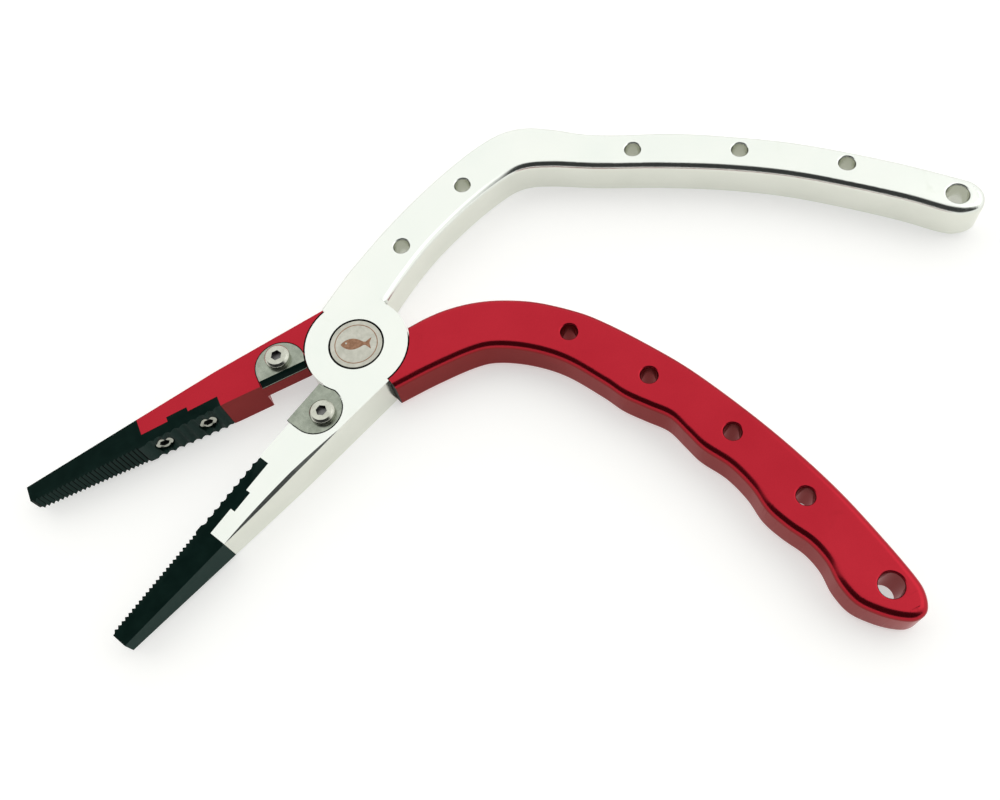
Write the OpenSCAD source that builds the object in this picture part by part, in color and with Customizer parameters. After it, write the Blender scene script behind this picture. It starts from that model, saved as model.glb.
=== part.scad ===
// Pistol-grip fishing pliers with line cutters.
// Two frames cross in a half-lap joint. Each half is drawn as it sits when the jaws are shut, with the
// shut line along X and the jaws towards -X, and is then swung open by half of the full opening.
// Z = 0 is the face that the pliers lie on. The pivot axis is Z.

/* [Frames] */
// Thickness of both frames
plate_t = 9.5; // [9:0.5:11]
// Angle that each half stands away from the shut line at rest, fully open
half_open = 13.5; // [8:0.5:13.5]
// Radius of the lapped pivot discs
disc_r = 11.3; // [11:0.1:11.5]
// Radial gap between a disc and the other frame
disc_gap = 0.35; // [0.2:0.05:0.4]
// Gap between the two lapped faces, filled by the thrust washer
lap_gap = 0.3; // [0.2:0.05:0.4]

/* [Jaws] */
// Distance from the pivot to the jaw tips
jaw_l = 76; // [70:1:80]
// How much each face drops from full thickness to the tip
jaw_drop = 2.8; // [1:0.2:3]
// Half of the gap between the tooth crests when shut
grip_gap = 0.15; // [0.1:0.05:0.3]
// Depth of the fine teeth and of the coarse scallops
tooth_h = 0.55; // [0.3:0.05:0.6]
// Pitch of the fine teeth on the tip
tooth_pitch = 1; // [0.8:0.1:1.4]
// Pitch of the scallops on the tongue
scallop_pitch = 1.85; // [1.6:0.05:2.2]

/* [Cutters] */
// Thickness of the cutter plates
cutter_t = 1.2; // [0.8:0.1:1.6]
// Radius of the round side of a cutter plate
cutter_r = 5.5; // [5:0.1:5.5]

/* [Holes] */
// Radius of the lightening holes along the handles
hole_r = 1.8; // [1.5:0.1:2]
// Radius of the lanyard hole at each handle end
lanyard_r = 2.4; // [2:0.1:2.5]
// Chamfer around every handle hole
hole_chamfer = 0.4; // [0.2:0.1:0.5]

/* [Pivot] */
// Radius of the bolt head and of the nut
head_r = 5.75; // [5.5:0.05:5.8]
// Radius of the bolt shank
shank_r = 3.5; // [3:0.1:3.5]
// Wall of the bronze bushing
bushing_wall = 0.7; // [0.6:0.05:0.75]
// Wire radius of the return spring
wire_r = 0.4; // [0.3:0.05:0.45]

/* [Hidden] */

$fn = 64;
eps = 0.01;
big = 400;
mid_z = plate_t / 2;
upper_z = mid_z + lap_gap / 2;   // underside of the palm disc
lower_z = mid_z - lap_gap / 2;   // top of the finger disc
clear_r = disc_r + disc_gap;
curve_n = 6;                     // straight steps for each span of a handle curve

// Angles of the four shoulders that stop the opening, measured with the pliers shut
finger_jaw_stop = 107;
palm_handle_stop = 79.5;
palm_jaw_stop = -103;
finger_handle_stop = -75.5;
shoulder_r = 13;

// Jaw, drawn on the +Y side of the shut line
jaw_root_r = 11.95;              // where the outer edge meets its shoulder
jaw_top_joint = [-49.4, 6.9];    // outer edge where the insert takes over
jaw_top_tip = [-jaw_l, 4.2];
taper_x = -30;                   // the jaws start to thin here
tongue_x = -31.5;
tongue_y = 2.95;
key_x = [-43.2, -38.4];
key_y = 4.05;
block_x = -22.1;                 // the full-height block ends here
block_y = 0.5;
shelf_y = 0.4;
relief_y = 3.4;                  // the lower half is cut back behind the cutter
insert_screw_x = [-46.2, -36];

// Cutter plate
cutter_c = [-16.6, 3.2];
cutter_screw_c = [-16.45, 5];
finger_edge_y = 0.45;            // cutting edge of the finger plate, when shut
finger_bevel_y = 1.75;           // where its bevel starts on the top face
bevel_drop = 0.9;
palm_edge_y = 0.35;              // cutting edge of the palm plate, past the shut line
cutter_gap = 0.2;
pocket_open_y = -3;              // the pocket runs out past the shut line
screw_hole_gap = 0.15;

// Fasteners
cutter_head_r = 2.75;
cutter_head_h = 1.6;
cutter_head_bevel = 0.5;
cutter_shank_r = 1.25;
cutter_screw_l = 6;
cutter_hole_z = 2;
cutter_socket = [1.2, 1];        // radius and depth of the hexagon
insert_head_r = 1.9;
insert_head_h = 1.1;
insert_shank_r = 1;
insert_screw_l = 5;
insert_hole_l = 6;
insert_socket = [1.1, 0.8];
insert_head_gap = 0.3;
insert_hole_gap = 0.1;
insert_head_y = 0.85;            // outer face of the recessed head
thread_gap = 0.02;

// Pivot stack
seat_r = head_r + 0.4;
seat_depth = 2.2;
cap_t = 0.6;
shank_z = 0.5;                   // the closed face of the nut is this thick
bolt_socket_r = 2.3;
spanner_hole = [4, 0.8];         // distance from the axis and radius
spanner_depth = 1;
bushing_r = shank_r + bushing_wall;
running_gap = 0.04;
spring_r = 6;
spring_turns = 2.5;
spring_gap = 0.1;
ring_angle = 18;                 // between one ring of the wire's surface and the next
pocket_r = [4.9, 7.2];
pocket_depth = 1.2;
washer_r = [7.8, 11];
washer_play = 0.03;

// Handle outlines, each from the pivot out to the end and back
palm_outer = [[13, 14], [26, 14.4], [39, 13.8], [50, 12.4], [58, 10.6], [63.5, 8.2], [67.5, 4.2],
              [70.5, -1.7], [73.2, -8.4], [77, -14.9], [84, -25.3], [90.4, -37.3], [96.5, -50.8],
              [102.4, -68.7], [106, -83.2]];
palm_end = [[106.5, -87], [105, -90], [101.8, -91.1], [98.8, -89.3], [97, -86]];
palm_inner = [[95.1, -77.3], [91.6, -65.4], [87.4, -53.4], [81.7, -41.3], [74.5, -28.8], [66.6, -16.6],
              [61, -6.9], [56.6, -1.8], [50, 0.6], [40, 2.3], [29, 3], [19, 2.4], [11, 1.3]];
finger_outer = [[11.5, -1.2], [16, -0.9], [21, -1.2], [26.7, -2.5], [32.5, -5], [38.9, -9.2], [45.4, -15.5],
                [49.3, -20.7], [53.8, -28.2], [58.6, -37.3], [62.4, -46.6], [65.8, -56.3], [68.6, -65.9],
                [70.8, -75.6], [72.3, -85.6], [73.2, -94]];
finger_end = [[73, -97.7], [71.4, -100.6], [68.8, -101.2], [66.2, -99.9], [63.4, -97.3]];
finger_inner = [[61, -93.8], [60.3, -89.5], [60.7, -85], [60, -80.7], [58, -76.2], [56.6, -71.6],
                [56.4, -66.3], [55.1, -60.6], [52.5, -55.2], [51.4, -50.8], [50.2, -46.2], [47.2, -42],
                [44.3, -37.8], [42.1, -33], [37.6, -24.9], [32.3, -19.1], [26.2, -14.9], [21, -13.5],
                [12, -13.2]];
finger_root = [3.5, -13.5];
palm_holes = [[24.8, 7.9], [45.5, 6.6], [74.8, -20.5], [87.5, -40.7], [96.6, -62.1]];
finger_holes = [[41.3, -19.6], [51, -36.4], [59.1, -55], [64.2, -72.7]];
palm_lanyard = [101.7, -85.4];
finger_lanyard = [68.2, -94];

// A smooth curve through every point of a list
function blend(a, b, c, d, t) =
    0.5 * (2 * b + (c - a) * t + (2 * a - 5 * b + 4 * c - d) * t * t + (3 * b - a - 3 * c + d) * t * t * t);
function curve(p, n = curve_n) = let (last = len(p) - 1) [
    for (i = [0 : last - 1], k = [0 : n - 1])
        blend(p[max(i - 1, 0)], p[i], p[i + 1], p[min(i + 2, last)], k / n),
    p[last]];
function polar(r, a) = [r * cos(a), r * sin(a)];

// Tooth crests and valleys from one end of a row to the other
function teeth(from, to, pitch, crest, depth) = let (n = floor((to - from) / pitch)) [
    for (i = [0 : n - 1]) each [[from + i * pitch, crest + depth], [from + (i + 0.5) * pitch, crest]]];
// Scallops are shallow round hollows with a crest between them
function scallops(from, to, n, crest, depth) = [
    for (i = [0 : n - 1], k = [0 : 3])
        [from + (to - from) * (i + k / 4) / n, crest + depth * sin(45 * k)]];

module palm_side() {
    rotate([0, 0, half_open]) children();
}

module finger_side() {
    rotate([0, 0, -half_open]) children();
}

// Turns a part drawn for the +Y jaw into its twin on the -Y jaw
module twin() {
    mirror([0, 1, 0]) children();
}

// Side view of a jaw, thinner towards the tip on both faces
module taper_block() {
    rotate([90, 0, 0]) linear_extrude(big, center = true)
        polygon([[-jaw_l - 1, jaw_drop], [taper_x, 0], [big, 0], [big, plate_t], [taper_x, plate_t],
                 [-jaw_l - 1, plate_t - jaw_drop]]);
}

module cutter_outline(edge_y, grow = 0) {
    difference() {
        union() {
            translate(cutter_c) circle(cutter_r + grow);
            translate([cutter_c.x - cutter_r - grow, edge_y])
                square([2 * (cutter_r + grow), cutter_c.y - edge_y]);
        }
        circle(clear_r - grow);
        translate([-big, edge_y - big]) square([2 * big, big]);
    }
}

module jaw_outline(stop) {
    polygon([[0, 0], polar(jaw_root_r, stop), jaw_top_joint, [jaw_top_joint.x, tongue_y],
             [key_x[0], tongue_y], [key_x[0], key_y], [key_x[1], key_y], [key_x[1], tongue_y],
             [tongue_x, tongue_y], [tongue_x, block_y], [block_x, block_y], [block_x, shelf_y],
             [0, shelf_y]]);
}

module insert_outline() {
    crest = grip_gap;
    scallop_n = floor((tongue_x - jaw_top_joint.x) / scallop_pitch);
    polygon(concat(
        teeth(-jaw_l + 0.5, jaw_top_joint.x - 0.5, tooth_pitch, crest, tooth_h),
        scallops(jaw_top_joint.x, tongue_x, scallop_n, crest, tooth_h),
        [[tongue_x, crest + tooth_h], [tongue_x, tongue_y], [key_x[1], tongue_y], [key_x[1], key_y],
         [key_x[0], key_y], [key_x[0], tongue_y], [jaw_top_joint.x, tongue_y], jaw_top_joint, jaw_top_tip,
         [-jaw_l, grip_gap + tooth_h]]));
}

module palm_outline() {
    mirror([0, 1]) jaw_outline(-palm_jaw_stop);
    polygon(concat([[0, 0], polar(shoulder_r, palm_handle_stop)],
                   curve(concat(palm_outer, palm_end, palm_inner))));
}

module finger_outline() {
    jaw_outline(finger_jaw_stop);
    polygon(concat([[0, 0]], curve(concat(finger_outer, finger_end, finger_inner, [finger_root]))));
}

module chamfered_hole(c, r) {
    translate([c.x, c.y, -1]) cylinder(r = r, h = plate_t + 2);
    for (z = [0, 1]) translate([c.x, c.y, z * plate_t]) mirror([0, 0, z])
        translate([0, 0, -eps]) cylinder(r1 = r + hole_chamfer + eps, r2 = r, h = hole_chamfer + eps);
}

module cutter_pocket() {
    translate([0, 0, plate_t - cutter_t]) linear_extrude(cutter_t + 1)
        cutter_outline(pocket_open_y, cutter_gap);
}

// Threaded holes for the cutter screw and the two insert screws, drawn for the +Y jaw
module jaw_screw_holes() {
    translate([cutter_screw_c.x, cutter_screw_c.y, cutter_hole_z])
        cylinder(r = cutter_shank_r + thread_gap, h = plate_t);
    for (x = insert_screw_x) translate([x, 0, mid_z]) rotate([-90, 0, 0])
        cylinder(r = insert_shank_r + thread_gap, h = insert_hole_l, $fn = 32);
}

// The notch behind the cutter that lets cut line fall clear, in the lower half only
module cutter_relief() {
    translate([block_x, -1, -1]) cube([-block_x, relief_y + 1, mid_z + 1]);
}

module spring_pocket() {
    difference() {
        cylinder(r = pocket_r[1], h = pocket_depth + 1);
        translate([0, 0, -1]) cylinder(r = pocket_r[0], h = pocket_depth + 3);
    }
}

module palm_frame() color("gainsboro") palm_side() difference() {
    intersection() {
        union() {
            linear_extrude(plate_t) difference() {
                palm_outline();
                circle(clear_r);
            }
            translate([0, 0, upper_z]) linear_extrude(plate_t - upper_z) union() {
                circle(disc_r);
                intersection() {
                    circle(clear_r + 1);
                    palm_outline();
                }
            }
        }
        taper_block();
    }
    twin() {
        cutter_relief();
        jaw_screw_holes();
        cutter_pocket();
    }
    for (c = palm_holes) chamfered_hole(c, hole_r);
    chamfered_hole(palm_lanyard, lanyard_r);
    translate([0, 0, plate_t - seat_depth]) cylinder(r = seat_r, h = seat_depth + 1);
    cylinder(r = bushing_r + running_gap, h = plate_t);
    translate([0, 0, upper_z + pocket_depth]) mirror([0, 0, 1]) spring_pocket();
}

module finger_frame() color("crimson") finger_side() difference() {
    intersection() {
        union() {
            linear_extrude(plate_t) difference() {
                finger_outline();
                circle(clear_r);
            }
            linear_extrude(lower_z) union() {
                circle(disc_r);
                intersection() {
                    circle(clear_r + 1);
                    finger_outline();
                }
            }
        }
        taper_block();
    }
    difference() {
        cutter_relief();
        translate([0, 0, -1]) cylinder(r = disc_r, h = plate_t);
    }
    jaw_screw_holes();
    cutter_pocket();
    for (c = finger_holes) chamfered_hole(c, hole_r);
    chamfered_hole(finger_lanyard, lanyard_r);
    translate([0, 0, -1]) cylinder(r = seat_r, h = seat_depth + 1);
    cylinder(r = bushing_r, h = plate_t);
    translate([0, 0, lower_z - pocket_depth]) spring_pocket();
}

// Black jaw insert with its tongue, key, teeth and counterbored screw holes
module jaw_insert() color([0.09, 0.13, 0.13]) difference() {
    intersection() {
        linear_extrude(plate_t) insert_outline();
        taper_block();
    }
    for (x = insert_screw_x) translate([x, 0, mid_z]) rotate([-90, 0, 0]) {
        cylinder(r = insert_shank_r + insert_hole_gap, h = insert_hole_l, $fn = 32);
        cylinder(r = insert_head_r + insert_head_gap, h = insert_head_y + insert_head_h, $fn = 32);
    }
}

module socket(r, depth) {
    cylinder(r = r, h = depth, $fn = 6);
}

module insert_screw(x) color("silver") translate([x, insert_head_y, mid_z]) rotate([-90, 0, 0]) difference() {
    union() {
        cylinder(r = insert_head_r, h = insert_head_h, $fn = 32);
        cylinder(r = insert_shank_r, h = insert_screw_l, $fn = 32);
    }
    translate([0, 0, -eps]) socket(insert_socket[0], insert_socket[1]);
}

// A cutter plate with its screw hole, drawn for the +Y jaw
module cutter_plate(edge_y) {
    difference() {
        translate([0, 0, plate_t - cutter_t]) linear_extrude(cutter_t) cutter_outline(edge_y);
        translate([cutter_screw_c.x, cutter_screw_c.y, 0])
            cylinder(r = cutter_shank_r + screw_hole_gap, h = plate_t + 1);
    }
}

module palm_cutter() color("darkgray") palm_side() twin() cutter_plate(-palm_edge_y);

module finger_cutter() color("darkgray") finger_side() difference() {
    cutter_plate(finger_edge_y);
    rotate([90, 0, 90]) linear_extrude(big, center = true)
        polygon([[finger_bevel_y, plate_t + eps], [finger_edge_y - eps, plate_t - bevel_drop],
                 [finger_edge_y - 1, plate_t - bevel_drop], [finger_edge_y - 1, plate_t + eps]]);
}

module cutter_screw() color("silver") translate([cutter_screw_c.x, cutter_screw_c.y, plate_t]) difference() {
    union() {
        translate([0, 0, -cutter_screw_l]) cylinder(r = cutter_shank_r, h = cutter_screw_l + eps);
        cylinder(r = cutter_head_r, h = cutter_head_h - cutter_head_bevel);
        translate([0, 0, cutter_head_h - cutter_head_bevel])
            cylinder(r1 = cutter_head_r, r2 = cutter_head_r - cutter_head_bevel, h = cutter_head_bevel);
    }
    translate([0, 0, cutter_head_h - cutter_socket[1]]) socket(cutter_socket[0], 2 * cutter_socket[1]);
}

module pivot_bolt() color("dimgray") difference() {
    union() {
        translate([0, 0, plate_t - seat_depth]) cylinder(r = head_r, h = seat_depth - cap_t);
        translate([0, 0, shank_z]) cylinder(r = shank_r, h = plate_t - seat_depth);
    }
    translate([0, 0, plate_t - seat_depth]) socket(bolt_socket_r, seat_depth);
}

module pivot_cap() color("lightgray") translate([0, 0, plate_t - cap_t]) cylinder(r = head_r, h = cap_t);

module pivot_nut() color("gray") difference() {
    cylinder(r = head_r, h = seat_depth - washer_play);
    translate([0, 0, shank_z]) cylinder(r = shank_r + thread_gap, h = seat_depth);
    for (s = [-1, 1]) translate([s * spanner_hole[0], 0, spanner_depth]) mirror([0, 0, 1])
        cylinder(r = spanner_hole[1], h = 2 * spanner_depth, $fn = 32);
}

module thrust_washer() color("goldenrod") translate([0, 0, lower_z + washer_play]) difference() {
    cylinder(r = washer_r[1], h = lap_gap - 2 * washer_play);
    translate([0, 0, -1]) cylinder(r = washer_r[0], h = 2);
}

module pivot_bushing() color("peru") difference() {
    translate([0, 0, seat_depth]) cylinder(r = bushing_r, h = plate_t - 2 * seat_depth - washer_play);
    cylinder(r = shank_r + running_gap, h = plate_t);
}

// Points of one ring of wire around the coil's path
spring_z0 = lower_z - pocket_depth + wire_r + spring_gap;
spring_z1 = upper_z + pocket_depth - wire_r - spring_gap;
spring_steps = 360 * spring_turns / ring_angle;
wire_sides = 8;
function coil_ring(i) = let (a = i * ring_angle, z = spring_z0 + (spring_z1 - spring_z0) * i / spring_steps) [
    for (k = [0 : wire_sides - 1]) let (b = 360 * k / wire_sides, r = spring_r + wire_r * cos(b))
        [r * cos(a), r * sin(a), z + wire_r * sin(b)]];

module return_spring() color("steelblue") polyhedron(
    points = [for (i = [0 : spring_steps]) each coil_ring(i)],
    faces = concat(
        [[for (k = [wire_sides - 1 : -1 : 0]) k]],
        [for (i = [0 : spring_steps - 1], k = [0 : wire_sides - 1])
            let (a = i * wire_sides, b = (k + 1) % wire_sides)
                [a + k, a + b, a + wire_sides + b, a + wire_sides + k]],
        [[for (k = [0 : wire_sides - 1]) spring_steps * wire_sides + k]]));

palm_frame();
palm_side() twin() jaw_insert();  // palm_jaw_insert
palm_side() twin() insert_screw(insert_screw_x[0]);  // palm_insert_screw_front
palm_side() twin() insert_screw(insert_screw_x[1]);  // palm_insert_screw_rear
palm_cutter();
palm_side() twin() cutter_screw();  // palm_cutter_screw
pivot_bolt();
pivot_cap();
pivot_nut();
thrust_washer();
return_spring();
finger_frame();
finger_side() jaw_insert();  // finger_jaw_insert
finger_side() insert_screw(insert_screw_x[0]);  // finger_insert_screw_front
finger_side() insert_screw(insert_screw_x[1]);  // finger_insert_screw_rear
finger_cutter();
finger_side() cutter_screw();  // finger_cutter_screw
finger_side() pivot_bushing();
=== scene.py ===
import bpy
import bmesh
import math
from mathutils import Euler, Matrix, Vector


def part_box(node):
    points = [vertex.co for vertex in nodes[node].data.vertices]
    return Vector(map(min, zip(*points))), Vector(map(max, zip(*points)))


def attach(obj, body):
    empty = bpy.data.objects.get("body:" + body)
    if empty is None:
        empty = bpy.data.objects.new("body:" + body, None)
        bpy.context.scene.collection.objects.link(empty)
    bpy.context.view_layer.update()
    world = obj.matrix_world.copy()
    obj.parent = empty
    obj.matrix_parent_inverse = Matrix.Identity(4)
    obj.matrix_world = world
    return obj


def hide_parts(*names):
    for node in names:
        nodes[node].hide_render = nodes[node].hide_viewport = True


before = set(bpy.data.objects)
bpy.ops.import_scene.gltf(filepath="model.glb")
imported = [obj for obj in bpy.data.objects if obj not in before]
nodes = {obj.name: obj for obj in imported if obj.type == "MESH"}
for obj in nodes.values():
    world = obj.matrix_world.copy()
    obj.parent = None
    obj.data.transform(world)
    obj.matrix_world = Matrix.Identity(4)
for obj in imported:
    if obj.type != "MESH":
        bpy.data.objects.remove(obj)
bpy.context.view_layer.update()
scene = bpy.context.scene

# Each half is worked on in its own frame: turned back to the shut line, with the pivot at the origin and
# the jaw along -X.
MM = 0.001
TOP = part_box("finger_frame")[1].z            # top face of both plates
OPEN = math.radians(13.5)                    # each half stands this far from the shut line
TURN = {"palm": OPEN, "finger": -OPEN}
SIDE = {"palm": -1, "finger": 1}             # the jaw's side of the shut line; the handle is on the other
CLEAR_R = 11.65 * MM                         # wall around the lapped discs
LAP_LOW, LAP_HIGH = TOP / 2 - 0.15 * MM, TOP / 2 + 0.15 * MM
CORE_R = 9 * MM                              # the handle solid stops here, inside the disc
SEAT_R, SEAT_DEPTH = 6.35 * MM, 2.4 * MM     # just past the seats of the bolt head and the nut
STOP_R = 13.4 * MM                           # the shoulders' stop faces end here
POCKET = (-16.6 * MM, 3.2 * MM)              # centre of a cutter's round pocket
POCKET_WALL = (5.4 * MM, 6 * MM)             # its wall lies between these radii
POCKET_DEPTH = 1.25 * MM                     # just past its floor
HOLE_R, LANYARD_R = 1.8 * MM, 2.4 * MM
HOLE_LIP = 0.45 * MM                         # round at the mouths of the handles' holes
EDGE = 1.7 * MM                              # round along the handles
JAW_EDGE = 0.32 * MM                         # bevel along the outside of the jaws
FINE_EDGE = 0.1 * MM                         # bevel on the other edges of jaw and disc
TAPER_X = -30 * MM                           # the jaws get thinner from here on
TIP_X = -49.4 * MM                           # the inserts' toothed tips start here
NOSE_X = -75.3 * MM                          # and their noses here
FLAT_X, FLAT_LEG = -17.5 * MM, 0.66 * MM     # start and greatest width of the flat on the silver jaw

JOIN = 2e-6                                  # vertices closer than this are one
SHARP = math.radians(32)                     # edges that bend more are shaded sharp
BENT = math.radians(25)                      # edges that bend less are never bevelled


# ---------------------------------------------------------------- materials
class Mat:
    """A node material with a few short-hands."""

    def __init__(self, name):
        self.m = bpy.data.materials.new(name)
        self.m.use_nodes = True
        self.t = self.m.node_tree
        self.bsdf = self.t.nodes["Principled BSDF"]
        self.co = self.t.nodes.new("ShaderNodeTexCoord").outputs["Object"]

    def link(self, a, b):
        self.t.links.new(a, b)

    def set(self, **values):
        for k, v in values.items():
            self.bsdf.inputs[k.replace("_", " ")].default_value = v
        return self

    def scaled(self, s):
        n = self.t.nodes.new("ShaderNodeMapping")
        n.inputs["Scale"].default_value = s
        self.link(self.co, n.inputs["Vector"])
        return n.outputs["Vector"]

    def noise(self, scale, detail=4, rough=0.5, stretch=(1, 1, 1), distortion=0.0):
        n = self.t.nodes.new("ShaderNodeTexNoise")
        n.inputs["Scale"].default_value = scale
        n.inputs["Detail"].default_value = detail
        n.inputs["Roughness"].default_value = rough
        n.inputs["Distortion"].default_value = distortion
        self.link(self.scaled(stretch), n.inputs["Vector"])
        return n.outputs["Fac"]

    def ramp(self, fac, stops):
        n = self.t.nodes.new("ShaderNodeValToRGB")
        e = n.color_ramp.elements
        while len(e) < len(stops):
            e.new(0.5)
        for i, (p, c) in enumerate(stops):
            e[i].position = p
            e[i].color = (*c, 1) if hasattr(c, "__len__") else (c, c, c, 1)
        self.link(fac, n.inputs["Fac"])
        return n.outputs["Color"]

    def math(self, op, a, b):
        n = self.t.nodes.new("ShaderNodeMath")
        n.operation = op
        for i, v in enumerate((a, b)):
            if isinstance(v, (int, float)):
                n.inputs[i].default_value = v
            else:
                self.link(v, n.inputs[i])
        return n.outputs[0]

    def mix(self, fac, a, b, mode="MIX"):
        n = self.t.nodes.new("ShaderNodeMix")
        n.data_type = "RGBA"
        n.blend_type = mode
        for name, v in (("Factor", fac), ("A", a), ("B", b)):
            s = next(s for s in n.inputs if s.name == name and (s.type == "RGBA" or name == "Factor"))
            if isinstance(v, (int, float)):
                s.default_value = v
            elif isinstance(v, tuple):
                s.default_value = (*v, 1)
            else:
                self.link(v, s)
        return next(o for o in n.outputs if o.type == "RGBA")

    def bump(self, *layers):
        """Each layer is (height, strength, distance)."""
        last = None
        for height, strength, distance in layers:
            n = self.t.nodes.new("ShaderNodeBump")
            n.inputs["Strength"].default_value = strength
            n.inputs["Distance"].default_value = distance
            self.link(height, n.inputs["Height"])
            if last:
                self.link(last, n.inputs["Normal"])
            last = n.outputs["Normal"]
        self.link(last, self.bsdf.inputs["Normal"])

    def worn_edges(self, low=0.52, high=0.60):
        """One on convex edges, fading to zero."""
        n = self.t.nodes.new("ShaderNodeNewGeometry")
        return self.ramp(n.outputs["Pointiness"], [(low, 0.0), (high, 1.0)])

    def standing(self, full, none):
        """One on upright faces, fading to zero on flat ones."""
        up = self.t.nodes.new("ShaderNodeSeparateXYZ")
        self.link(self.t.nodes["Texture Coordinate"].outputs["Normal"], up.inputs[0])
        return self.ramp(self.math("ABSOLUTE", up.outputs["Z"], 0), [(full, 1.0), (none, 0.0)])

    def to(self, out, socket):
        self.link(out, self.bsdf.inputs[socket])


def anodised(name, faces, walls, blot, metallic, rough, graze):
    """Blasted and dyed aluminium. The upright walls get colours of their own, tuned to how bright they look
    under the light: painted light on the silver's walls, painted shade on the red's.
    """
    m = Mat(name).set(Metallic=metallic, Specular_IOR_Level=0.35, Specular_Tint=(*graze, 1))
    wall = m.standing(0.12, 0.55)
    top = m.ramp(m.noise(55, 3), [(0.3, faces[0]), (0.7, faces[1])])
    # The walls' colours carry painted light on the silver and painted shade on the red.
    side = m.ramp(m.noise(70, 4), [(0.3, walls[0]), (0.7, walls[1])])
    marks = m.ramp(m.noise(150, 7, 0.72, distortion=0.7), [(0.60, 0.0), (0.76, 0.3)])
    fine = m.math("MULTIPLY", m.noise(900, 5), 0.14)
    base = m.mix(wall, top, side)
    m.to(m.mix(m.math("ADD", marks, fine), base, blot), "Base Color")
    m.to(m.math("ADD", m.math("MULTIPLY", m.noise(90, 4), 0.14), rough), "Roughness")
    m.bump((m.noise(5200, 2), 0.10, 0.00002), (m.noise(900, 3), 0.04, 0.00004))
    return m.m


def silver_anodised():
    # The walls' pair of colours is lighter than the faces': painted light.
    return anodised("clear_anodised_aluminium", ((0.675, 0.71, 0.67), (0.715, 0.735, 0.695)),
                    ((0.735, 0.75, 0.675), (0.79, 0.80, 0.73)), (0.58, 0.62, 0.54), 1.0, 0.13, (1, 1, 1))


def red_anodised():
    # The walls' pair of colours is darker than the faces': painted shade.
    return anodised("red_anodised_aluminium", ((0.345, 0.013, 0.024), (0.385, 0.017, 0.029)),
                    ((0.165, 0.018, 0.017), (0.20, 0.023, 0.022)), (0.26, 0.010, 0.017), 0.92, 0.14,
                    (1, 0.7, 0.7))


def black_steel():
    """Coated steel: even on flat faces, and on the walls painted shade in the hollows and painted light on
    the ridges.
    """
    m = Mat("black_coated_steel")
    m.set(Metallic=0.0, Specular_IOR_Level=0.04, Specular_Tint=(0.4, 1.0, 0.85, 1))
    flat = m.ramp(m.noise(420, 4), [(0.35, (0.0018, 0.0072, 0.0056)), (0.7, (0.0036, 0.0115, 0.0092))])
    hollow = m.t.nodes.new("ShaderNodeNewGeometry").outputs["Pointiness"]
    # painted shade in the hollows and painted light on the ridges, by pointiness
    ridge = m.ramp(hollow, [(0.46, (0.0005, 0.0016, 0.0012)), (0.53, (0.012, 0.030, 0.025))])
    base = m.mix(m.standing(0.1, 0.4), flat, ridge)
    worn = m.math("MULTIPLY", m.worn_edges(0.56, 0.70), 0.25)
    m.to(m.mix(worn, base, (0.05, 0.07, 0.065)), "Base Color")
    m.to(m.math("ADD", m.math("MULTIPLY", m.noise(800, 4), 0.22), 0.30), "Roughness")
    m.bump((m.noise(3800, 3), 0.2, 0.00003), (m.noise(500, 3), 0.08, 0.00005))
    return m.m


def shaded():
    """Painted shade: a near-black for the sides of the teeth that face the nose."""
    m = Mat("painted_tooth_flank_shade").set(Metallic=0.0, Specular_IOR_Level=0.02)
    base = m.ramp(m.noise(900, 3), [(0.3, (0.0003, 0.0010, 0.0008)), (0.7, (0.0008, 0.0024, 0.0020))])
    m.to(base, "Base Color")
    m.to(m.math("ADD", m.math("MULTIPLY", m.noise(900, 3), 0.2), 0.5), "Roughness")
    m.bump((m.noise(3800, 3), 0.15, 0.00003))
    return m.m


def ground_steel(name, low, high, scale=(1, 1, 1), rough=0.34, relief=0.14):
    """Bare metal with a fine grain, which the scale draws out along an axis."""
    m = Mat(name).set(Metallic=1.0)
    grain = m.noise(2600, 4, stretch=scale)
    blotch = m.noise(520, 5, 0.65)
    base = m.ramp(blotch, [(0.35, low), (0.68, high)])
    m.to(m.mix(m.math("MULTIPLY", grain, 0.3), base, tuple(0.7 * c for c in low)), "Base Color")
    m.to(m.math("ADD", m.math("MULTIPLY", m.noise(700, 4), 0.2), rough), "Roughness")
    m.bump((grain, relief, 0.00003))
    return m.m


def etched():
    """The brown of the mark on the cap."""
    m = Mat("etched_mark").set(Metallic=0.55)
    m.to(m.ramp(m.noise(1600, 4), [(0.35, (0.24, 0.12, 0.065)), (0.7, (0.36, 0.20, 0.12))]), "Base Color")
    m.to(m.math("ADD", m.math("MULTIPLY", m.noise(1500, 4), 0.2), 0.45), "Roughness")
    m.bump((m.noise(3000, 3), 0.2, 0.00002))
    return m.m


def painted_shade():
    """Painted shade: a near-black put on recessed walls, seats, sockets and the gaps between parts."""
    m = Mat("painted_recess_shade").set(Metallic=0.0, Specular_IOR_Level=0.15)
    m.to(m.ramp(m.noise(900, 4), [(0.3, (0.006, 0.008, 0.008)), (0.75, (0.022, 0.024, 0.022))]), "Base Color")
    m.to(m.math("ADD", m.math("MULTIPLY", m.noise(1200, 3), 0.2), 0.5), "Roughness")
    m.bump((m.noise(2500, 3), 0.2, 0.00003))
    return m.m


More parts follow.
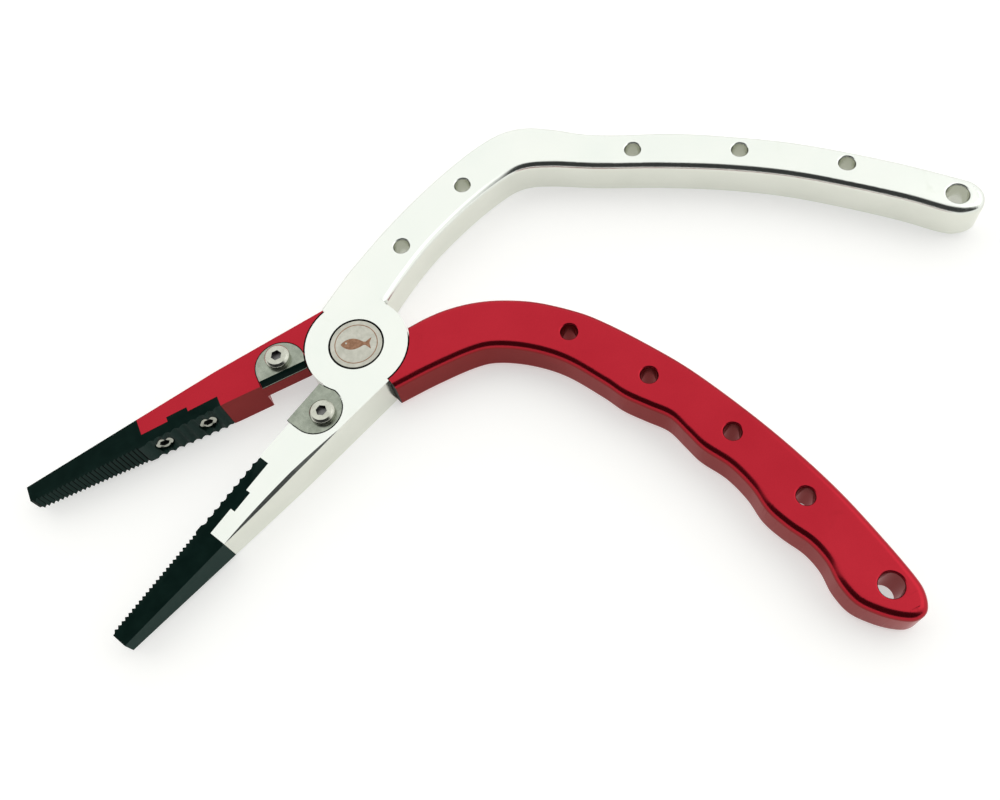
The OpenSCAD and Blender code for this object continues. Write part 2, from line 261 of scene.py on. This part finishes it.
SILVER, RED, BLACK = silver_anodised(), red_anodised(), black_steel()
CUTTER = ground_steel("ground_cutter_steel", (0.225, 0.25, 0.205), (0.335, 0.365, 0.305),
                      scale=(1, 0.15, 1), rough=0.17, relief=0.05)
SCREW = ground_steel("stainless_screw_steel", (0.41, 0.42, 0.36), (0.55, 0.56, 0.49),
                     rough=0.1, relief=0.08)
CAP = ground_steel("satin_cap_steel", (0.44, 0.44, 0.38), (0.56, 0.555, 0.49), rough=0.36)
PIVOT_STEEL_AND_SOCKET_SHADE = ground_steel("dark_pivot_steel_and_socket_shade", (0.12, 0.12, 0.12), (0.2, 0.2, 0.195), rough=0.3)
BRONZE = ground_steel("bronze_bearing", (0.42, 0.26, 0.12), (0.55, 0.36, 0.18), (1, 1, 0.2))
SPRING = ground_steel("spring_wire_steel", (0.30, 0.31, 0.33), (0.42, 0.43, 0.45), rough=0.25)
MARK = etched()
PAINTED_SHADE = painted_shade()
FLANK_SHADE = shaded()


# ---------------------------------------------------------------- mesh helpers
def joined(mesh, merge):
    """A bmesh of the mesh, joined up and with faces that bend less than this many degrees merged."""
    bm = bmesh.new()
    bm.from_mesh(mesh)
    bmesh.ops.remove_doubles(bm, verts=bm.verts, dist=JOIN)
    bmesh.ops.dissolve_limit(bm, angle_limit=math.radians(merge), verts=bm.verts, edges=bm.edges)
    return bm


def cad_mesh(node, merge=0.4):
    """A joined copy of the CAD node's mesh."""
    bm = joined(nodes[node].data, merge)
    bmesh.ops.recalc_face_normals(bm, faces=bm.faces)
    return bm


def to_object(bm, name):
    me = bpy.data.meshes.new(name)
    bm.to_mesh(me)
    bm.free()
    ob = bpy.data.objects.new(name, me)
    scene.collection.objects.link(ob)
    return ob


def baked(ob):
    """Applies the object's modifiers."""
    deps = bpy.context.evaluated_depsgraph_get()
    deps.update()
    me = bpy.data.meshes.new_from_object(ob.evaluated_get(deps))
    ob.modifiers.clear()
    ob.data = me
    return ob


def boolean(ob, other, op):
    """Cuts or joins the object with the other one, which is used up."""
    mod = ob.modifiers.new("cut", "BOOLEAN")
    mod.operation = op
    mod.solver = "MANIFOLD"
    mod.object = other
    baked(ob)
    bpy.data.objects.remove(other)
    return ob


def finish_piece(ob, body, mat, slot, *replaced, recess=None, second=PAINTED_SHADE, crisp=None):
    """Clean shading, its material, and its place on a body. Faces that recess(middle, normal) picks get the
    second material, by default the painted shade, and those that crisp picks are shaded flat."""
    me = ob.data
    me.materials.clear()
    me.materials.append(mat)
    if recess:
        me.materials.append(second)
    for p in me.polygons:
        p.material_index = 1 if recess and recess(p.center, p.normal) else 0
    me.shade_smooth()
    me.set_sharp_from_angle(angle=SHARP)
    for p in me.polygons:
        p.use_smooth = not (crisp and crisp(p.center, p.normal))
    mod = ob.modifiers.new("normals", "WEIGHTED_NORMAL")
    mod.keep_sharp = True
    mod.weight = 80
    baked(ob)
    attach(ob, body)
    if replaced:
        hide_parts(*replaced)
    return ob


def circle(r, steps):
    angles = [2 * math.pi * i / steps for i in range(steps)]
    return [(r * math.cos(a), r * math.sin(a)) for a in angles]


def bridge(bm, a, b):
    """Faces between two closed rings that have the same number of points."""
    for i in range(len(a)):
        j = (i + 1) % len(a)
        bm.faces.new((a[i], a[j], b[j], b[i]))


def lathe(profile, name, steps, at=(0, 0, 0)):
    """A solid turned from (radius, height) points, which start and end on the axis."""
    bm = bmesh.new()
    rings = []
    for r, z in profile:
        points = circle(r, steps) if r > 0 else [(0, 0)]
        rings.append([bm.verts.new((x, y, z)) for x, y in points])
    for a, b in zip(rings, rings[1:]):
        for i in range(steps):
            j = (i + 1) % steps
            quad = [a[i % len(a)], a[j % len(a)], b[j % len(b)], b[i % len(b)]]
            quad = [v for k, v in enumerate(quad) if v not in quad[:k]]
            if len(quad) > 2:
                bm.faces.new(quad)
    bmesh.ops.recalc_face_normals(bm, faces=bm.faces)
    bm.transform(Matrix.Translation(at))
    return to_object(bm, name)


def drum(r, z0, z1, name, steps, at=(0, 0, 0)):
    """An upright cylinder."""
    return lathe([(0, z0), (r, z0), (r, z1), (0, z1)], name, steps, at)


def prism(points, z0, z1, name):
    bm = bmesh.new()
    low = [bm.verts.new((x, y, z0)) for x, y in points]
    high = [bm.verts.new((x, y, z1)) for x, y in points]
    bm.faces.new(low[::-1])
    bm.faces.new(high)
    bridge(bm, low, high)
    bmesh.ops.recalc_face_normals(bm, faces=bm.faces)
    return to_object(bm, name)


def soften(bm, choose, width, segments=2):
    """Bevels the sharp convex edges that choose(edge, middle) picks."""
    bm.normal_update()
    picked = [e for e in bm.edges if len(e.link_faces) == 2 and e.is_convex
              and e.calc_face_angle(0) > BENT
              and choose(e, (e.verts[0].co + e.verts[1].co) / 2)]
    if picked:
        bmesh.ops.bevel(bm, geom=picked, offset=width, offset_type="OFFSET", segments=segments, profile=0.5,
                        affect="EDGES", clamp_overlap=True, loop_slide=False)
    return bm


def slice_loops(node, z):
    """Closed outlines of a CAD node at a height, as lists of (x, y)."""
    bm = cad_mesh(node, 0.02)
    whole = bm.verts[:] + bm.edges[:] + bm.faces[:]
    cut = bmesh.ops.bisect_plane(bm, geom=whole, plane_co=(0, 0, z), plane_no=(0, 0, 1))["geom_cut"]
    near = {}
    for e in (e for e in cut if isinstance(e, bmesh.types.BMEdge)):
        a, b = e.verts
        near.setdefault(a, []).append(b)
        near.setdefault(b, []).append(a)
    loops, seen = [], set()
    for start in near:
        if start in seen:
            continue
        loop, prev, here = [], None, start
        while here not in seen:
            seen.add(here)
            loop.append((here.co.x, here.co.y))
            step = [v for v in near[here] if v is not prev and v not in seen]
            if not step:
                break
            prev, here = here, step[0]
        loops.append(loop)
    bm.free()
    return loops


def area(loop):
    """The area inside a loop, positive when it runs anticlockwise."""
    return 0.5 * sum(a[0] * b[1] - b[0] * a[1] for a, b in zip(loop, loop[1:] + loop[:1]))


def rolled(p, angle):
    """The point turned about the pivot."""
    c, s = math.cos(angle), math.sin(angle)
    return (p[0] * c - p[1] * s, p[0] * s + p[1] * c)


def smoothed(points, n=3, apart=0.12 * MM):
    """A centripetal Catmull-Rom curve through the points, without those that nearly touch."""
    pts = [Vector(points[0])]
    for q in points[1:]:
        if (Vector(q) - pts[-1]).length > apart:
            pts.append(Vector(q))
    pts = [2 * pts[0] - pts[1]] + pts + [2 * pts[-1] - pts[-2]]
    out = []
    for i in range(1, len(pts) - 2):
        a, b, c, d = pts[i - 1:i + 3]
        t1 = (b - a).length ** 0.5
        t2 = t1 + (c - b).length ** 0.5
        t3 = t2 + (d - c).length ** 0.5
        for k in range(n):
            t = t1 + (t2 - t1) * k / n
            ab = a * (t1 - t) / t1 + b * t / t1
            bc = b * (t2 - t) / (t2 - t1) + c * (t - t1) / (t2 - t1)
            cd = c * (t3 - t) / (t3 - t2) + d * (t - t2) / (t3 - t2)
            abc = ab * (t2 - t) / t2 + bc * t / t2
            bcd = bc * (t3 - t) / (t3 - t1) + cd * (t - t1) / (t3 - t1)
            p = abc * (t2 - t) / (t2 - t1) + bcd * (t - t1) / (t2 - t1)
            out.append((p.x, p.y))
    return out + [tuple(pts[-2])]


# ---------------------------------------------------------------- the two frames
def handle_outline(loop, body):
    """The handle's stretch of a frame's outline, carried on into the disc at its lap end, and whether it
    starts on the shoulder."""
    outer = [rolled(p, -TURN[body]) for p in loop]
    if area(outer) < 0:
        outer.reverse()

    def on_handle(p):
        return math.hypot(*p) > CLEAR_R + 0.07 * MM and p[0] > 2 * MM

    start = next(i for i in range(len(outer)) if on_handle(outer[i]) and not on_handle(outer[i - 1]))
    run = []
    for p in outer[start:] + outer[:start]:
        if not on_handle(p):
            break
        run.append(p)
    run = smoothed(run)
    from_shoulder = SIDE[body] * run[0][1] < -8 * MM
    end, before = (run[-1], run[-4]) if from_shoulder else (run[0], run[3])
    reach = (Vector(end) - Vector(before)).normalized() * 7 * MM
    inside = (end[0] + reach.x, end[1] + reach.y)
    return (run + [inside], True) if from_shoulder else ([inside] + run, False)


def handle_solid(run, from_shoulder, name, segments=8):
    """A handle with rounded edges, from its outline. Its shoulder end is cut along a line to the pivot."""
    pts = [Vector(p) for p in run]
    sign = 1 if area(run + [(0, 0)]) > 0 else -1
    normals = []
    for i in range(len(pts)):
        d = (pts[min(i + 1, len(pts) - 1)] - pts[max(i - 1, 0)]).normalized()
        normals.append(Vector((d.y, -d.x)) * sign)
    steps = [math.pi / 2 * k / segments for k in range(segments + 1)]
    half = [(EDGE * (1 - math.cos(t)), EDGE * (1 - math.sin(t))) for t in steps]
    profile = [(i, z) for i, z in reversed(half)] + [(i, TOP - z) for i, z in half]
    bm = bmesh.new()
    columns = []
    for i, (p, n) in enumerate(zip(pts, normals)):
        inward = -n
        if i == (0 if from_shoulder else len(pts) - 1):
            inward = -p.normalized()
            inward = inward / max(-n.dot(inward), 0.3)
        columns.append([bm.verts.new((p.x + inward.x * d, p.y + inward.y * d, z)) for d, z in profile])
    low, high = bm.verts.new((0, 0, 0)), bm.verts.new((0, 0, TOP))
    for a, b in zip(columns, columns[1:]):
        for k in range(len(profile) - 1):
            bm.faces.new((a[k], a[k + 1], b[k + 1], b[k]))
    bm.faces.new([c[0] for c in columns] + [low])
    bm.faces.new([c[-1] for c in columns] + [high])
    bm.faces.new(columns[0] + [high, low])
    bm.faces.new(columns[-1] + [high, low])
    bmesh.ops.recalc_face_normals(bm, faces=bm.faces)
    return to_object(bm, name)


def hole_cutter(c, r, name, segments=5):
    """A hole through the plate with a small round at each mouth."""
    steps = [math.pi / 2 * k / segments for k in range(segments + 1)]
    arc = [(r + HOLE_LIP * (1 - math.sin(t)), HOLE_LIP * (1 - math.cos(t))) for t in steps]
    side = [(r + HOLE_LIP, -MM)] + arc
    profile = [(0, -MM)] + side + [(x, TOP - z) for x, z in reversed(side)] + [(0, TOP + MM)]
    return lathe(profile, name, 64, (*c, 0))


def build_handle(loops, body, lap_cut):
    """The handle with its holes, cut clear of the other half's disc between the two heights of lap_cut."""
    handle = handle_solid(*handle_outline(loops[0], body), "handle")
    boolean(handle, drum(CORE_R, -MM, TOP + MM, "core", 128), "DIFFERENCE")
    boolean(handle, drum(CLEAR_R, *lap_cut, "lap", 256), "DIFFERENCE")
    for loop in loops[1:]:
        local = [rolled(p, -TURN[body]) for p in loop]
        c = (sum(p[0] for p in local) / len(local), sum(p[1] for p in local) / len(local))
        r = math.sqrt(abs(area(local)) / math.pi)
        if c[0] > STOP_R and r < 1.25 * LANYARD_R:
            exact = HOLE_R if r < (HOLE_R + LANYARD_R) / 2 else LANYARD_R
            boolean(handle, hole_cutter(c, exact, "hole"), "DIFFERENCE")
    return handle


def build_jaw(node, body):
    """Jaw and disc from the CAD mesh, with fine edge breaks."""
    bm = cad_mesh(node)
    bm.transform(Matrix.Rotation(-TURN[body], 4, "Z"))

    def cap_edge(e):
        z = [abs(f.normal.z) for f in e.link_faces]
        return max(z) > 0.9 and min(z) < 0.4

    def outside(e, m):
        along = m.x < -3.5 * MM and SIDE[body] * m.y > 5.5 * MM
        return along and m.length > 11.7 * MM and cap_edge(e)

    def fine(e, m):
        r = m.to_2d().length
        jaw_or_disc = m.x < 1 * MM or r < 11.5 * MM
        near_face = m.z > TOP - 3 * MM or m.z < 3 * MM
        return jaw_or_disc and r > 5 * MM and near_face and cap_edge(e) and not outside(e, m)

    soften(bm, outside, JAW_EDGE, 3)
    soften(bm, fine, FINE_EDGE, 2)
    jaw = to_object(bm, "jaw")
    ahead = [(-90 * MM, -40 * MM), (1 * MM, -40 * MM), (1 * MM, 40 * MM), (-90 * MM, 40 * MM)]
    keep = prism(ahead, -MM, TOP + MM, "keep")
    boolean(keep, drum(CLEAR_R, -MM, TOP + MM, "round", 256), "UNION")
    return boolean(jaw, keep, "INTERSECT")


def jaw_flat(ob, node):
    """Cuts the long lens-shaped flat along the outer top edge of the silver jaw."""
    x0, y0 = -2.69 * MM, -11.64 * MM         # that edge's end at the disc
    x1, y1 = -49.35 * MM, -6.9 * MM          # and at the insert
    local = [(*rolled((v.co.x, v.co.y), -TURN["palm"]), v.co.z) for v in nodes[node].data.vertices]
    end_z = max(z for x, y, z in local if abs(x - x1) < 0.3 * MM and abs(y - y1) < 0.3 * MM)
    along = Vector((x1 - x0, y1 - y0, 0)).normalized()
    inward, up = Vector((along.y, -along.x, 0)), Vector((0, 0, 1))
    if inward.y < 0:
        inward = -inward
    slope = (inward + up).normalized()
    steps = 24
    bm = bmesh.new()
    rings = []
    for f in (i / steps for i in range(steps + 1)):
        x = FLAT_X + (x1 - FLAT_X) * f
        y = y0 + (y1 - y0) * (x - x0) / (x1 - x0)
        z = TOP if x > TAPER_X else TOP + (end_z - TOP) * (x - TAPER_X) / (x1 - TAPER_X)
        leg = FLAT_LEG * math.sin(math.pi * f) ** 0.8
        edge = Vector((x, y, z))
        low, high = edge - up * leg, edge + inward * leg
        corners = (low - slope * 2 * MM, high + slope * 2 * MM, edge + (up - inward) * 4 * MM)
        rings.append([bm.verts.new(q) for q in corners])
    for a, b in zip(rings, rings[1:]):
        bridge(bm, a, b)
    bm.faces.new(rings[0])
    bm.faces.new(rings[-1])
    bmesh.ops.recalc_face_normals(bm, faces=bm.faces)
    boolean(ob, to_object(bm, "flat"), "DIFFERENCE")


def on_flat(c, n):
    """Picks the face that jaw_flat leaves."""
    return 0.6 < n.z < 0.8 and n.y < -0.6 and c.x < -15 * MM and c.y < -12 * MM


def dark_faces(body):
    """Picks the faces that get painted shade: the wall around the lap, the seats, the cutter pocket's wall
    and the finger half's stop faces.
    """
    pocket_at = Vector(rolled((POCKET[0], SIDE[body] * POCKET[1]), TURN[body]))

    def test(c, n):
        if min(abs(c.z - TOP), c.z) < 0.08 * MM:
            return False
        at, facing = c.to_2d(), n.to_2d()
        r, off = at.length, at - pocket_at
        lap = CLEAR_R - 0.1 * MM < r < CLEAR_R + 0.15 * MM and facing.dot(at) < -0.8 * r
        seat = r < SEAT_R and (c.z > TOP - SEAT_DEPTH or c.z < SEAT_DEPTH)
        pocket = c.z > TOP - POCKET_DEPTH and abs(n.z) < 0.4 and \
            POCKET_WALL[0] < off.length < POCKET_WALL[1] and facing.dot(off) < 0
        across = abs(facing.dot(Vector((-c.y, c.x)).normalized()))
        stop = body == "finger" and CLEAR_R < r < STOP_R and across > 0.75
        return lap or seat or pocket or stop
    return test


def build_frame(body, mat, slot, lap_cut, level):
    """A whole frame. The handle's outline is read at a height where the disc doesn't hide it."""
    node = body + "_frame"
    loops = sorted(slice_loops(node, level), key=lambda loop: -abs(area(loop)))
    handle = build_handle(loops, body, lap_cut)
    plate = boolean(build_jaw(node, body), handle, "UNION")
    if body == "palm":
        jaw_flat(plate, node)
    bm = joined(plate.data, 0.05)
    bm.transform(Matrix.Rotation(TURN[body], 4, "Z"))
    bm.to_mesh(plate.data)
    bm.free()
    plate.name = body + "_plate"
    crisp = on_flat if body == "palm" else None
    # The faces that dark_faces picks get the painted shade, the default second material.
    finish_piece(plate, body, mat, slot, node, recess=dark_faces(body), crisp=crisp)


build_frame("palm", SILVER, "clear_anodised", (-MM, LAP_HIGH), 7.0 * MM)
build_frame("finger", RED, "red_anodised", (LAP_LOW, TOP + MM), 2.5 * MM)


# ---------------------------------------------------------------- the smaller pieces
def edged(node, name, body, mat, slot, width, segments=2, choose=lambda e, m: True, recess=None,
          second=PAINTED_SHADE):
    """A CAD piece with its sharp edges broken: all of them, or those that choose(edge, middle) picks."""
    bm = soften(cad_mesh(node), choose, width, segments)
    return finish_piece(to_object(bm, name), body, mat, slot, node, recess=recess, second=second)


def socket_of(node, axis, radius):
    """Picks the faces of a screw's hexagon socket, which get painted shade. The axis points out of its mouth.
    """
    z = Vector(axis)
    co = [v.co for v in nodes[node].data.vertices]
    face = max(v.dot(z) for v in co)
    rim = [v for v in co if face - v.dot(z) < 0.2 * MM]
    c = sum(rim, Vector()) / len(rim)

    def test(m, n):
        d = m - c
        along = d.dot(z)
        return (d - z * along).length < radius and (along < -0.12 * MM or abs(n.dot(z)) < 0.5)
    return test


def jaw_pieces(body):
    """A half's insert, cutter and screws."""
    turn, side = TURN[body], SIDE[body]

    def plain_edge(e, m):
        """The insert's outer edges and its nose, but not its tongue and teeth."""
        x, y = rolled((m.x, m.y), -turn)
        flat = any(abs(f.normal.z) > 0.9 for f in e.link_faces)
        return y * side > 2.4 * MM and (flat or x < -48 * MM) or x < NOSE_X

    def flank(c, n):
        """The sides of the fine teeth that face the nose, which get painted shade."""
        x, y = rolled((n.x, n.y), -turn)
        on_tip = rolled((c.x, c.y), -turn)[0] < TIP_X
        return on_tip and abs(n.z) < 0.3 and x < -0.25 and y * side < -0.2

    def bevel(c, n):
        """The cutter's sloping faces."""
        return 0.2 < abs(n.z) < 0.93

    edged(body + "_jaw_insert", body + "_jaw", body, BLACK, "black_steel", width=0.18 * MM,
          choose=plain_edge, recess=flank, second=FLANK_SHADE)
    edged(body + "_cutter", body + "_blade", body, CUTTER, "cutter_steel", width=0.06 * MM,
          choose=lambda e, m: m.z > TOP - 0.2 * MM, recess=bevel, second=BLACK)
    screw = body + "_cutter_screw"
    # Its socket gets the dark pivot steel as painted shade.
    edged(screw, body + "_blade_screw", body, SCREW, "stainless_screw", width=0.1 * MM, segments=3,
          recess=socket_of(screw, (0, 0, 1), 1.25 * MM), second=PIVOT_STEEL_AND_SOCKET_SHADE)
    out = rolled((0, -side), turn)
    for end in ("front", "rear"):
        screw = body + "_insert_screw_" + end
        # Their sockets get the default painted shade.
        edged(screw, body + "_jaw_screw_" + end, body, SCREW, "stainless_screw", width=0.12 * MM,
              recess=socket_of(screw, (*out, 0), 1.15 * MM))


def emblem():
    """A plain fish in a ring, etched in the cap: thin inlays that stand a hair above it."""
    tilt = math.radians(-38)
    z0, z1 = TOP - 0.05 * MM, TOP + 0.008 * MM
    bm = bmesh.new()

    def inlay(*outlines):
        """One outline is filled; of two, only the ring between them is."""
        rings = [[[bm.verts.new((x, y, z)) for x, y in points] for z in (z0, z1)] for points in outlines]
        for low, high in rings:
            bridge(bm, low, high)
        for level in zip(*rings):
            if len(level) == 2:
                bridge(bm, *level)
            else:
                bm.faces.new(*level)

    inlay(circle(4.75 * MM, 96), circle(4.55 * MM, 96))
    nose, length, half_width = -3.4 * MM, 5.6 * MM, 1.35 * MM
    back = [(nose + length * t, half_width * math.sin(math.pi * t ** 0.85) ** 0.9)
            for t in (k / 20 for k in range(19))]
    tail = [(back[-1][0] + 0.45 * MM, 0.42 * MM), (3.35 * MM, 1.45 * MM), (2.95 * MM, 0.0)]
    upper = back + tail
    fish = upper + [(x, -y) for x, y in reversed(upper[1:-1])]
    inlay([rolled(p, tilt) for p in fish])
    bmesh.ops.recalc_face_normals(bm, faces=bm.faces)
    finish_piece(to_object(bm, "cap_emblem"), "palm", MARK, "cap_steel")

    x, y = rolled((-2.2 * MM, 0.28 * MM), tilt)
    eye = drum(0.22 * MM, TOP - 0.03 * MM, TOP + 0.012 * MM, "emblem_eye", 32, (x, y, 0))
    finish_piece(eye, "palm", CAP, "cap_steel")


for body in ("palm", "finger"):
    jaw_pieces(body)
edged("pivot_cap", "cap", "palm", CAP, "cap_steel", width=0.12 * MM, segments=3)
edged("pivot_nut", "nut", "palm", PIVOT_STEEL_AND_SOCKET_SHADE, "pivot_steel", width=0.12 * MM, segments=3)
emblem()
for node, mat in (("pivot_bolt", PIVOT_STEEL_AND_SOCKET_SHADE), ("thrust_washer", BRONZE), ("pivot_bushing", BRONZE),
                  ("return_spring", SPRING)):
    nodes[node].data.materials.clear()
    nodes[node].data.materials.append(mat)


# ---------------------------------------------------------------- floor, light and camera
def add_floor():
    half, z = 3.0, -0.2 * MM
    corners = [(-half, -half, z), (half, -half, z), (half, half, z), (-half, half, z)]
    me = bpy.data.meshes.new("floor")
    me.from_pydata(corners, [], [(0, 1, 2, 3)])
    floor = bpy.data.objects.new("floor", me)
    scene.collection.objects.link(floor)
    m = Mat("floor_paper").set(Roughness=0.9, Emission_Color=(1.0, 1.0, 0.985, 1), Emission_Strength=0.55)
    m.to(m.ramp(m.noise(3, 2), [(0.3, (0.57, 0.57, 0.555)), (0.7, (0.59, 0.59, 0.575))]), "Base Color")
    me.materials.append(m.m)


def add_sky():
    """A white sky with one dark sector, which the rounded edges mirror as dark bands. The sector fades out
    towards the zenith and the horizon."""
    world = bpy.data.worlds.new("studio")
    scene.world = world
    world.use_nodes = True
    t = world.node_tree
    t.nodes.clear()
    link = t.links.new

    def vector_math(op, a, b=None):
        n = t.nodes.new("ShaderNodeVectorMath")
        n.operation = op
        link(a, n.inputs[0])
        if b:
            n.inputs[1].default_value = b
        return n.outputs

    def fade(value, zero, one):
        n = t.nodes.new("ShaderNodeMapRange")
        n.interpolation_type = "SMOOTHSTEP"
        n.inputs["From Min"].default_value = zero
        n.inputs["From Max"].default_value = one
        link(value, n.inputs["Value"])
        return n.outputs[0]

    def times(a, b):
        n = t.nodes.new("ShaderNodeMath")
        n.operation = "MULTIPLY"
        link(a, n.inputs[0])
        link(b, n.inputs[1])
        return n.outputs[0]

    ray = t.nodes.new("ShaderNodeTexCoord").outputs["Generated"]
    level = vector_math("NORMALIZE", vector_math("MULTIPLY", ray, (1, 1, 0))["Vector"])["Vector"]
    ahead = vector_math("DOT_PRODUCT", level, (-0.80, -0.60, 0.0))["Value"]
    split = t.nodes.new("ShaderNodeSeparateXYZ")
    link(ray, split.inputs[0])
    height = split.outputs["Z"]
    belt = times(fade(height, 0.998, 0.975), fade(height, 0.08, 0.24))
    sector = times(fade(ahead, 0.10, 0.46), belt)

    mix = t.nodes.new("ShaderNodeMix")
    mix.data_type = "RGBA"
    white, dark = [s for s in mix.inputs if s.type == "RGBA"]
    white.default_value = (1.0, 1.0, 0.985, 1)
    dark.default_value = (0.03, 0.032, 0.032, 1)
    link(sector, mix.inputs["Factor"])
    back = t.nodes.new("ShaderNodeBackground")
    back.inputs["Strength"].default_value = 1.33
    link(next(o for o in mix.outputs if o.type == "RGBA"), back.inputs["Color"])
    out = t.nodes.new("ShaderNodeOutputWorld")
    link(back.outputs[0], out.inputs["Surface"])


def add_softbox():
    light = bpy.data.lights.new("softbox", "AREA")
    light.shape = "DISK"
    light.size = 0.9
    light.energy = 1.0
    ob = bpy.data.objects.new("softbox", light)
    ob.location = (0.75, -0.30, 0.75)
    middle = Vector((20 * MM, -30 * MM, 0))
    ob.rotation_euler = (middle - ob.location).to_track_quat("-Z", "Y").to_euler()
    scene.collection.objects.link(ob)


def add_camera():
    """The camera that took the photograph, as solved from the outlines."""
    cam = bpy.data.cameras.new("camera")
    cam.sensor_width = 36
    cam.lens = 36.39456
    cam.shift_x = 0.01539
    cam.shift_y = -0.01068
    cam.clip_start = 0.01
    place = Vector((-25.76541, -112.07392, 196.32405)) * MM
    turn = Euler([math.radians(a) for a in (25.82118, 6.8031, -38.7945)])
    eye = bpy.data.objects.new("camera", cam)
    eye.matrix_world = Matrix.LocRotScale(place, turn, None)
    scene.collection.objects.link(eye)
    scene.camera = eye


add_floor()
add_sky()
add_softbox()
add_camera()
scene.view_settings.view_transform = "Standard"
